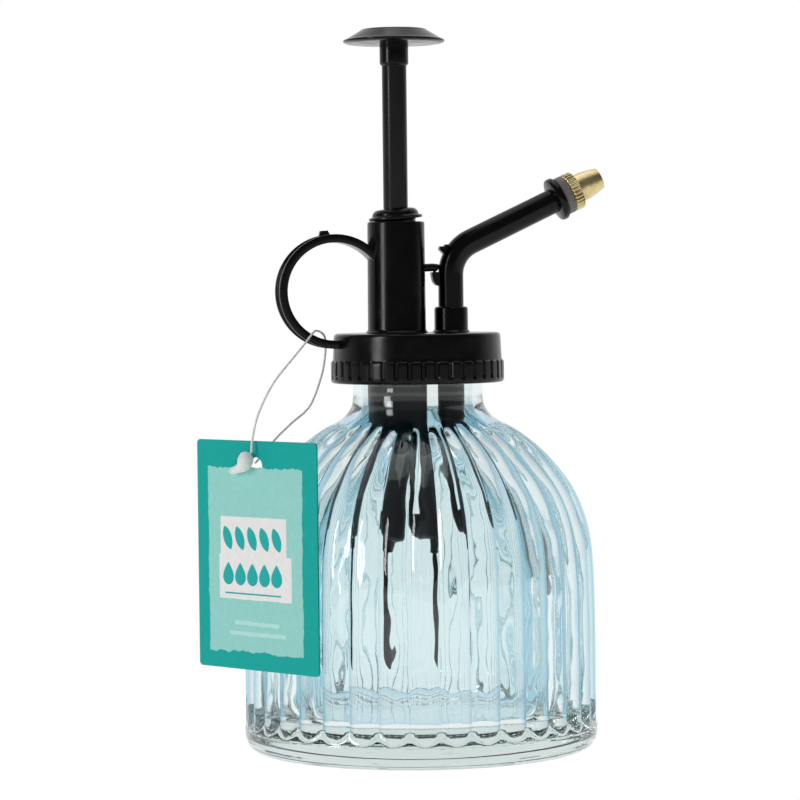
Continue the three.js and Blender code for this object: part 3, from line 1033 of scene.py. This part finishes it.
def loop_piece(look):
    data = bpy.data.curves.new("nylon_loop", "CURVE")
    data.dimensions = "3D"
    data.bevel_depth = LOOP_THICK / 2 * MM
    data.bevel_resolution = 4
    data.use_fill_caps = True
    line = smooth_line(LOOP_ROUTE, 8)
    spline = data.splines.new("POLY")
    spline.points.add(len(line) - 1)
    for point, place in zip(spline.points, line):
        point.co = (*(place * MM), 1)
    data.materials.append(look)
    piece = bpy.data.objects.new("nylon_loop", data)
    bpy.context.scene.collection.objects.link(piece)
    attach(piece, "tag")
    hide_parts("tag_loop")
    length = sum((b - a).length for a, b in zip(line, line[1:])) * MM
    return piece, length


def lock_mesh():
    """The fastener's moulded head in front of the hole, with its flattened tail."""
    spots = [
        (-1.0, 69.0, 1.8),
        (-1.1, 68.5, 1.9),
        (-1.4, 67.3, 1.95),
        (-2.0, 66.2, 1.9),
        (-3.2, 65.5, 1.75),
        (-4.8, 65.0, 1.6),
        (-6.2, 64.6, 1.5),
    ]
    widths = [0.5, 1.3, 1.75, 1.6, 1.15, 0.9, 0.85]
    line = smooth_line([(*spot, width) for spot, width in zip(spots, widths)], 6)
    path = [Vector(p[:3]) for p in line]
    return sweep("fastener_head", path, [p[3] for p in line], 32, tag_place())


# ---- Light and floor ----------------------------------------------------------------------------

GLASS_BOUNCES = 24
INNER_REFLECTIONS = 11  # a light path inside the glass ends dark after these
FRONT_LIGHT = 0.12  # how bright the room is on the eye's side


def world():
    made = bpy.data.worlds.new("studio")
    bpy.context.scene.world = made
    made.use_nodes = True
    tree = made.node_tree
    background = tree.nodes["Background"]
    place = tree.nodes.new("ShaderNodeTexCoord")
    behind = tree.nodes.new("ShaderNodeVectorMath")
    behind.operation = "DOT_PRODUCT"
    behind.inputs[1].default_value = -TO_EYE
    spread = tree.nodes.new("ShaderNodeMapRange")
    spread.interpolation_type = "SMOOTHSTEP"
    spread.inputs["From Min"].default_value = -0.15
    spread.inputs["From Max"].default_value = 0.8
    spread.inputs["To Min"].default_value = FRONT_LIGHT
    spread.inputs["To Max"].default_value = 1.0
    tree.links.new(place.outputs["Generated"], behind.inputs[0])
    tree.links.new(behind.outputs["Value"], spread.inputs["Value"])
    tree.links.new(spread.outputs["Result"], background.inputs["Strength"])
    background.inputs["Color"].default_value = (1, 1, 1, 1)


def softbox(name, place, target, width, height, power):
    data = bpy.data.lights.new(name, "AREA")
    data.shape = "RECTANGLE"
    data.size = width
    data.size_y = height
    data.energy = power
    lamp = bpy.data.objects.new(name, data)
    bpy.context.scene.collection.objects.link(lamp)
    way = Vector(target) - Vector(place)
    lamp.matrix_world = Matrix.Translation(place) @ way.to_track_quat(
        "-Z",
        "Y",
    ).to_matrix().to_4x4()


def floor():
    mesh = lathe("floor", [(0, -0.05), (4000, -0.05)], 64)
    piece = bpy.data.objects.new("floor", mesh)
    bpy.context.scene.collection.objects.link(piece)
    look = material("floor_white", (0, 0, 0), 1.0, Emission_Strength=1.0)
    look.node_tree.nodes["Principled BSDF"].inputs["Specular IOR Level"].default_value = 0
    look.node_tree.nodes["Principled BSDF"].inputs["Emission Color"].default_value = (1, 1, 1, 1)
    mesh.materials.append(look)


def studio():
    world()
    floor()
    softbox("overhead", (0.1, 0.1, 1.5), (0, 0, 0.1), 1.2, 1.2, 5)
    left = TO_EYE * 0.75 - TO_RIGHT * 1.1 + Vector((0, 0, 0.45))
    softbox("left_box", left, (0, 0, 0.1), 0.3, 0.8, 7.5)


# ---- Putting it together ------------------------------------------------------------------------

bpy.context.scene.view_settings.view_transform = "Standard"
camera()

nylon_look = nylon()
loop, loop_length = loop_piece(nylon_look)
lock = show(lock_mesh(), milky_nylon(), "tag", "clear_nylon", "loop_lock")
card = show(
    tag_card_mesh(),
    paper("tag_teal", (0.004, 0.37, 0.33), 0.03),
    "tag",
    "tag_card",
    "hang_tag",
)
prints = tag_prints()

black = black_plastic()
dark = inner_black()
show(bottle_mesh(), bottle_glass(), "bottle", "bottle_glass", "glass_bottle", angle=60)
show(pump_head_mesh(), black, "head", "black_plastic", "pump_head")
show(gland_mesh(), black, "head", "black_plastic", "gland_cap")
show(spout_mesh(), black, "head", "black_plastic", "spout")
show(cylinder_mesh(), dark, "head", "black_plastic", "pump_cylinder")
show(stub_mesh(), dark, "head", "black_plastic", "outlet_stub")
show(transfer_mesh(), dark, "head", "black_plastic", "transfer_tube")
show(dip_mesh(), dark, "head", "black_plastic", "dip_tube")
show(rod_mesh(), black, "plunger", "black_plastic", "piston_rod")
show(button_mesh(), black, "plunger", "black_plastic", "thumb_button")
show(washer_mesh(), grey_washer(), "washer", "grey_plastic", "nozzle_washer")
show(nozzle_mesh(), brass(), "nozzle", "nozzle_brass", "brass_nozzle")

kept_looks = {
    "black_rubber": rubber(),
    "grey_plastic": bpy.data.materials["grey_plastic"],
    "spring_steel": steel(),
    "black_plastic": dark,
}
slots = {row["node"]: row["material_slot"] for row in frame["record"]["subparts"]}
replaced = {
    "glass_bottle", "pump_head", "gland_cap", "spout", "pump_cylinder", "outlet_stub",
    "transfer_tube", "dip_tube", "piston_rod", "thumb_button", "nozzle_washer", "brass_nozzle",
    "hang_tag", "tag_loop", "loop_lock",
}
for node, piece in frame["nodes"].items():
    if node not in replaced:
        piece.data.materials.clear()
        piece.data.materials.append(kept_looks[slots[node]])

shortens("return_spring")
shortens("outlet_spring")

studio()
bpy.context.scene.cycles.max_bounces = GLASS_BOUNCES
bpy.context.scene.cycles.transmission_bounces = GLASS_BOUNCES
bpy.context.scene.cycles.glossy_bounces = INNER_REFLECTIONS
